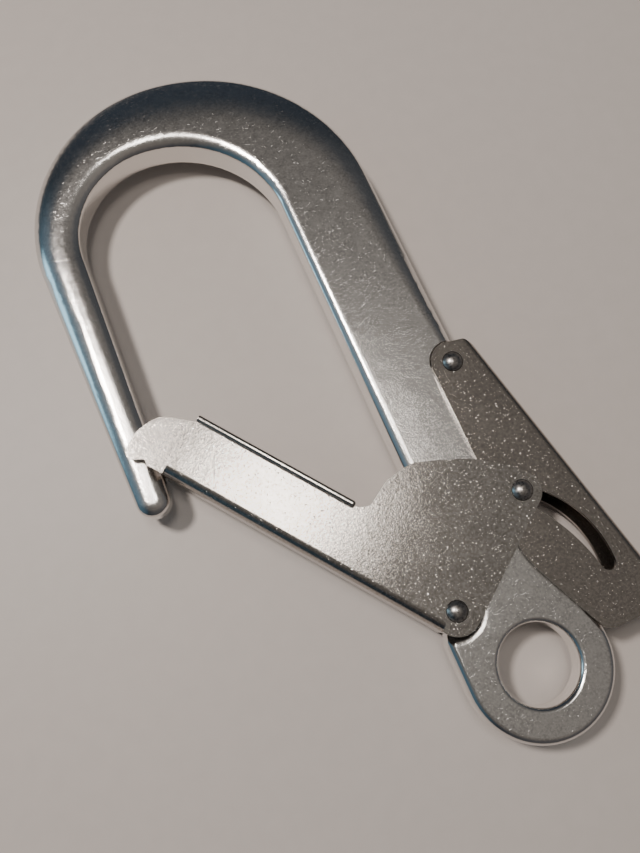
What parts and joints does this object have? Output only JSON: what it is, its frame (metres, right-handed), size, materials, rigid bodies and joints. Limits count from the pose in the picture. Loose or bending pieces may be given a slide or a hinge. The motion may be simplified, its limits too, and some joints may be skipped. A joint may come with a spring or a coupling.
{
  "type": "locking scaffold hook",
  "caption": "Large locking carabiner hook: forged body with a round eye, pivoting channel gate and a squeeze-to-open channel lever on its back",
  "frame": {"origin": "centre of the eye bore at mid thickness", "axes": "+Z through the thickness along the eye bore, +Y from the eye to the bow, +X from the nose side to the spine side"},
  "size_m": [0.1344, 0.2408, 0.023],
  "materials": {
    "body": "polished forged aluminium, lightly scratched",
    "gate": "tumbled pressed steel sheet",
    "lever": "tumbled pressed steel sheet, darker",
    "rivet": "domed steel rivet",
    "spring": "drawn stainless spring wire"
  },
  "bodies": {
    "hook": {"hook_body": "body", "gate_pivot_rivet": "rivet", "lever_pivot_rivet": "rivet", "gate_spring_front": "spring", "gate_spring_back": "spring", "lever_spring": "spring"},
    "gate": {"gate_channel": "gate", "link_rivet": "rivet"},
    "lever": {"lock_lever": "lever"}
  },
  "joints": [
    {"name": "gate_open", "type": "hinge", "parent": "hook", "child": "gate", "pos_m": [-0.016, 0.023, 0], "axis": [0, 0, -1], "range_deg": [0, 40], "stiffness_Nm_per_rad": 0.12, "springref_deg": -28.65, "deforming": ["gate_spring_front", "gate_spring_back"]},
    {"name": "lever_squeeze", "type": "hinge", "parent": "hook", "child": "lever", "pos_m": [0.0155, 0.0905, 0], "axis": [0, 0, -1], "range_deg": [0, 5], "deforming": ["lever_spring"]}
  ],
  "couplings": [
    {"joint": "lever_squeeze", "follows": "gate_open", "ratio": 0.125}
  ]
}
